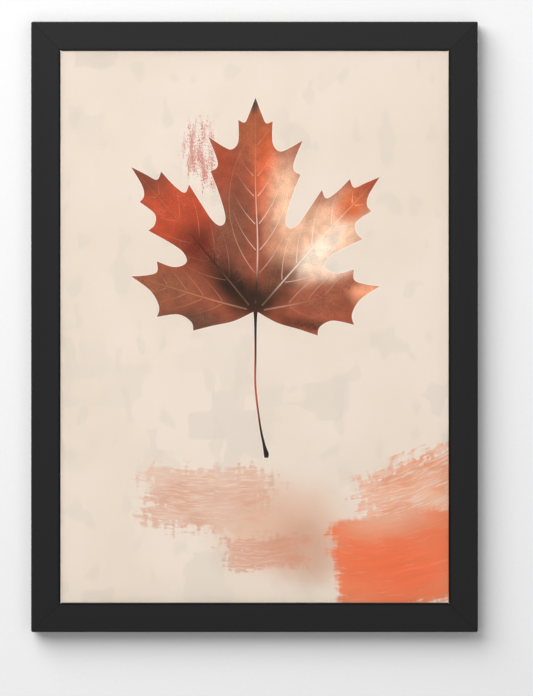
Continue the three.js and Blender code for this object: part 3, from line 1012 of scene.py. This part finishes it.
def addCrayon(tree, under, look):
    cm = centimetres(tree)
    reach = roundSpot(tree, wobble(tree, cm, 1.2, 0.7), look["spot"], 0.4)
    specks = noise(tree, cm, look["specks"], 3, 0.8, (1, 1, 0.55), look["speckLean"])
    lanes = noise(tree, cm, look["lanes"], 2, 0.5, (1, 1, 0.22), look["laneLean"])
    level = calc(tree, "ADD", specks, calc(tree, "MULTIPLY", calc(tree, "SUBTRACT", lanes, 0.5), 0.5))
    level = calc(tree, "ADD", level, calc(tree, "MULTIPLY", calc(tree, "SUBTRACT", reach, 1.0), 0.16))
    cover = calc(tree, "MULTIPLY", ease(tree, level, 0.49, 0.53), ease(tree, reach, 0.0, 0.1))
    under = blend(tree, ease(tree, reach, 0.1, 0.6, 0, 0.6), under, look["chalk"])
    return blend(tree, calc(tree, "MULTIPLY", cover, 0.85), under, blend(tree, lanes, *look["tints"]))


def groundMaterial():
    material, tree, shader = newMaterial("printedGround")
    cm = centimetres(tree)
    colour = groundColour(tree, blotchLook)
    colour = paintSpots(tree, wobble(tree, cm, 0.6, 1.2), colour, hazeSpots)
    for stroke in strokes.values():
        colour = brushStroke(tree, wobble(tree, cm, 0.45, 0.5), colour, stroke)
    colour = addCrayon(tree, colour, crayonLook)
    halo = addNode(tree, "ShaderNodeAttribute", attribute_name="halo").outputs["Fac"]
    colour = blend(tree, ease(tree, halo, 0.0, 0.8, 0, 0.85), colour, blotchLook["halo"])
    printFinish(tree, shader, colour)
    return material


def closeSheet(bm, rim, backPlace):
    grown = bmesh.ops.extrude_edge_only(bm, edges=rim)["geom"]
    backVerts = {v for v in grown if isinstance(v, bmesh.types.BMVert)}
    for vert in backVerts:
        vert.co.y = backPlace
    backRim = [e for e in grown if isinstance(e, bmesh.types.BMEdge) and backVerts.issuperset(e.verts)]
    made = bmesh.ops.edgeloop_fill(bm, edges=backRim)["faces"]
    walls = [f for e in rim for f in e.link_faces if not backVerts.isdisjoint(f.verts)]
    for face in made + walls:
        face.material_index = slots["back"]
    bmesh.ops.recalc_face_normals(bm, faces=made + walls)
    return made, walls


bakeSpace = {
    "front": (0.01, 0.98, 0.01, 0.92),
    "back": (0.01, 0.9, 0.94, 0.05),
    "wall": (0.93, 0.06, 0.95, 0.04),
}


def addBakeMap(bm, low, high, made, walls):
    layer = bm.loops.layers.uv.new("OFBake")
    for face in bm.faces:
        region = bakeSpace["back" if face in made else "wall" if face in walls else "front"]
        for loop in face.loops:
            place = loop.vert.co
            across = (place.x - low.x) / (high.x - low.x)
            up = (place.z - low.z) / (high.z - low.z)
            loop[layer].uv = (region[0] + region[1] * across, region[2] + region[3] * up)


bm, rim, low, high = printedSheet()
made, walls = closeSheet(bm, rim, high.y)
addBakeMap(bm, low, high, made, walls)
print("sheet closed, open edges:", sum(1 for e in bm.edges if len(e.link_faces) != 2))
sheetMaterials = [groundMaterial(), bladeMaterial(), veinMaterial(), stalkMaterial(stalkLook),
                  fibrePaper("paperBack")]
addPiece("printed_sheet", bm, sheetMaterials, rootBody, ["art_print"])
print("print finished")


# The wall, the floor and the lights

stageLook = {
    "wall": (2.4, 1.6),  # width and height
    "floorDrop": 0.32,  # below the frame
    "floorDepth": 2.2,
    "wallTints": ("ffffff", "f6f6f5"),
    "floorTints": ("ecebe8", "e6e5e2"),
}


def wallMaterial(look):
    material, tree, shader = newMaterial("wallPaint")
    coords = objectCoords(tree)
    roller = noise(tree, coords, 260, 3, 0.6)
    tree.links.new(blend(tree, ease(tree, roller, 0.3, 0.7, 0, 0.15), *look["wallTints"]),
                   shader.inputs["Base Color"])
    shader.inputs["Roughness"].default_value = 0.9
    shader.inputs["Specular IOR Level"].default_value = 0.1
    path = addNode(tree, "ShaderNodeLightPath").outputs["Is Camera Ray"]
    behind = addNode(tree, "ShaderNodeNewGeometry").outputs["Backfacing"]
    seen = calc(tree, "MULTIPLY", path, calc(tree, "SUBTRACT", 1.0, behind))
    clear = addNode(tree, "ShaderNodeBsdfTransparent").outputs[0]
    mixed = addNode(tree, "ShaderNodeMixShader", {0: seen, 1: clear, 2: shader.outputs[0]})
    tree.links.new(mixed.outputs[0], tree.nodes["Material Output"].inputs["Surface"])
    return material


def floorMaterial(look):
    material, tree, shader = newMaterial("floorPaint")
    cloud = noise(tree, objectCoords(tree), 6, 3, 0.5)
    tree.links.new(blend(tree, cloud, *look["floorTints"]), shader.inputs["Base Color"])
    shader.inputs["Roughness"].default_value = 0.8
    return material


def stagePlane(name, size, turn, place, material):
    bm = bmesh.new()
    bmesh.ops.create_grid(bm, x_segments=1, y_segments=1, size=0.5)
    bmesh.ops.scale(bm, vec=(size[0], size[1], 1), verts=bm.verts)
    mesh = bpy.data.meshes.new(name)
    bm.to_mesh(mesh)
    bm.free()
    mesh.materials.append(material)
    plane = bpy.data.objects.new(name, mesh)
    plane.rotation_euler = turn
    plane.location = place
    bpy.context.scene.collection.objects.link(plane)
    return plane


wallY = cadBox[1].y
wall = stagePlane("wall", stageLook["wall"], (math.radians(90), 0, 0), (middle.x, wallY, middle.z),
                  wallMaterial(stageLook))
floor = stagePlane("floor", (stageLook["wall"][0], stageLook["floorDepth"]), (0, 0, 0),
                   (middle.x, wallY, cadBox[0].z - stageLook["floorDrop"]), floorMaterial(stageLook))

# Nothing but the floor blocks the key, so no lip throws a band over the print. The frame's shadow on the
# wall is mostly wallKey's.
lights = {
    "key": {"at": (-1.1, -2.6, 2.6), "size": (1.6, 1.6), "power": 88, "shades": False},
    "wallKey": {"at": (-1.4, -2.0, 1.75), "size": (2.7, 2.7), "power": 86, "shades": True},
    "fill": {"at": (0.2, -2.6, 0.1), "size": (3.4, 3.4), "power": 27, "shades": True},
    "rearKey": {"at": (0.9, 1.5, 0.8), "size": (1.2, 1.2), "power": 45, "shades": True},
    "rearFill": {"at": (-1.2, 1.4, 0.1), "size": (1.4, 1.4), "power": 20, "shades": True},
}


def addLight(name, setup):
    data = bpy.data.lights.new(name, "AREA")
    data.shape = "RECTANGLE"
    data.size, data.size_y = setup["size"]
    data.energy = setup["power"]
    lamp = bpy.data.objects.new(name, data)
    lamp.location = middle + Vector(setup["at"])
    lamp.rotation_euler = (-Vector(setup["at"])).to_track_quat("-Z", "Y").to_euler()
    lamp.visible_camera = False
    lamp.visible_transmission = False  # the pane lets its light straight through instead
    lamp.visible_glossy = name != "fill"
    bpy.context.scene.collection.objects.link(lamp)
    return lamp.light_linking


def linkedTo(name, item, state):
    collection = bpy.data.collections.new(name)
    collection.objects.link(item)
    collection.collection_objects[0].light_linking.link_state = state
    return collection


floor.visible_diffuse = False  # it sends no light up to the frame
floor.visible_glossy = False
wallOnly = linkedTo("wallOnly", wall, "INCLUDE")
allButWall = linkedTo("allButWall", wall, "EXCLUDE")
floorOnly = linkedTo("floorOnly", floor, "INCLUDE")
for name, setup in lights.items():
    linking = addLight(name, setup)
    if name != "fill":
        linking.receiver_collection = wallOnly if name == "wallKey" else allButWall
    if not setup["shades"]:
        linking.blocker_collection = floorOnly

worldLook = {"seen": 1.0, "diffuse": 0.16, "frontGloss": 0.04, "rearGloss": 0.7}


def addWorld(look):
    world = bpy.data.worlds.new("studio")
    world.use_nodes = True
    bpy.context.scene.world = world
    tree = world.node_tree
    path = addNode(tree, "ShaderNodeLightPath").outputs
    direction = addNode(tree, "ShaderNodeTexCoord").outputs["Generated"]
    toRear = addNode(tree, "ShaderNodeSeparateXYZ", {0: direction}).outputs[1]
    gloss = ease(tree, toRear, -0.5, 0.5, look["frontGloss"], look["rearGloss"])
    level = calc(tree, "ADD", calc(tree, "MULTIPLY", path["Is Diffuse Ray"], look["diffuse"]),
                 calc(tree, "MULTIPLY", path["Is Glossy Ray"], gloss))
    level = calc(tree, "ADD", level, calc(tree, "MULTIPLY", path["Is Camera Ray"], look["seen"]))
    background = tree.nodes["Background"]
    background.inputs["Color"].default_value = (1, 1, 1, 1)
    tree.links.new(level, background.inputs["Strength"])


addWorld(worldLook)
print("stage and lights placed")
